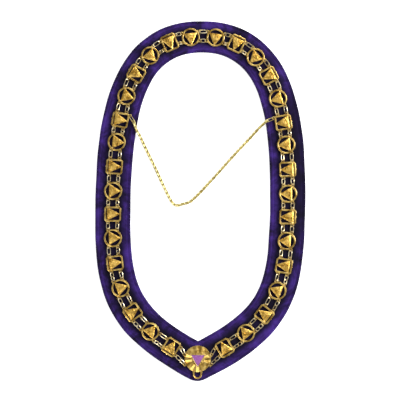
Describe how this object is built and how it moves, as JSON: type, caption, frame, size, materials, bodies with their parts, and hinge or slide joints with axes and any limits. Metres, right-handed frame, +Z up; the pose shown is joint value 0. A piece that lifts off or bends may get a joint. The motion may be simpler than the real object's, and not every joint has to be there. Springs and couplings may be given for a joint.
{
  "type": "chain of office",
  "caption": "Ceremonial collar laid flat: a closed velvet band carrying pierced gilt plaques on paired jump rings, a rayed medallion with an enamel triangle and a thin keeper chain.",
  "frame": {"origin": "on the surface that the collar lies on, under the middle of its outline", "axes": "+Y towards the back of the neck, +X towards the side that is on the right in the picture, +Z up from the surface"},
  "size_m": [0.303, 0.5186, 0.0082],
  "materials": {
    "purple_velvet": "matte",
    "gilt_metal": "polished",
    "keeper_gilt": "satin",
    "violet_enamel": "gloss"
  },
  "bodies": {
    "root": {"velvet_collar": "purple_velvet", "round_link_right_01": "gilt_metal", "round_link_left_01": "gilt_metal", "square_link_right_02": "gilt_metal", "square_link_left_02": "gilt_metal", "round_link_right_03": "gilt_metal", "round_link_left_03": "gilt_metal", "square_link_right_04": "gilt_metal", "square_link_left_04": "gilt_metal", "round_link_right_05": "gilt_metal", "round_link_left_05": "gilt_metal", "square_link_right_06": "gilt_metal", "square_link_left_06": "gilt_metal", "round_link_right_07": "gilt_metal", "round_link_left_07": "gilt_metal", "square_link_right_08": "gilt_metal", "square_link_left_08": "gilt_metal", "round_link_right_09": "gilt_metal", "round_link_left_09": "gilt_metal", "square_link_right_10": "gilt_metal", "square_link_left_10": "gilt_metal", "round_link_right_11": "gilt_metal", "round_link_left_11": "gilt_metal", "square_link_right_12": "gilt_metal", "square_link_left_12": "gilt_metal", "round_link_right_13": "gilt_metal", "round_link_left_13": "gilt_metal", "square_link_right_14": "gilt_metal", "square_link_left_14": "gilt_metal", "round_link_right_15": "gilt_metal", "round_link_left_15": "gilt_metal", "square_link_right_16": "gilt_metal", "square_link_left_16": "gilt_metal", "centre_medallion": "gilt_metal", "enamel_triangle": "violet_enamel", "keeper_chain": "keeper_gilt"}
  },
  "joints": []
}
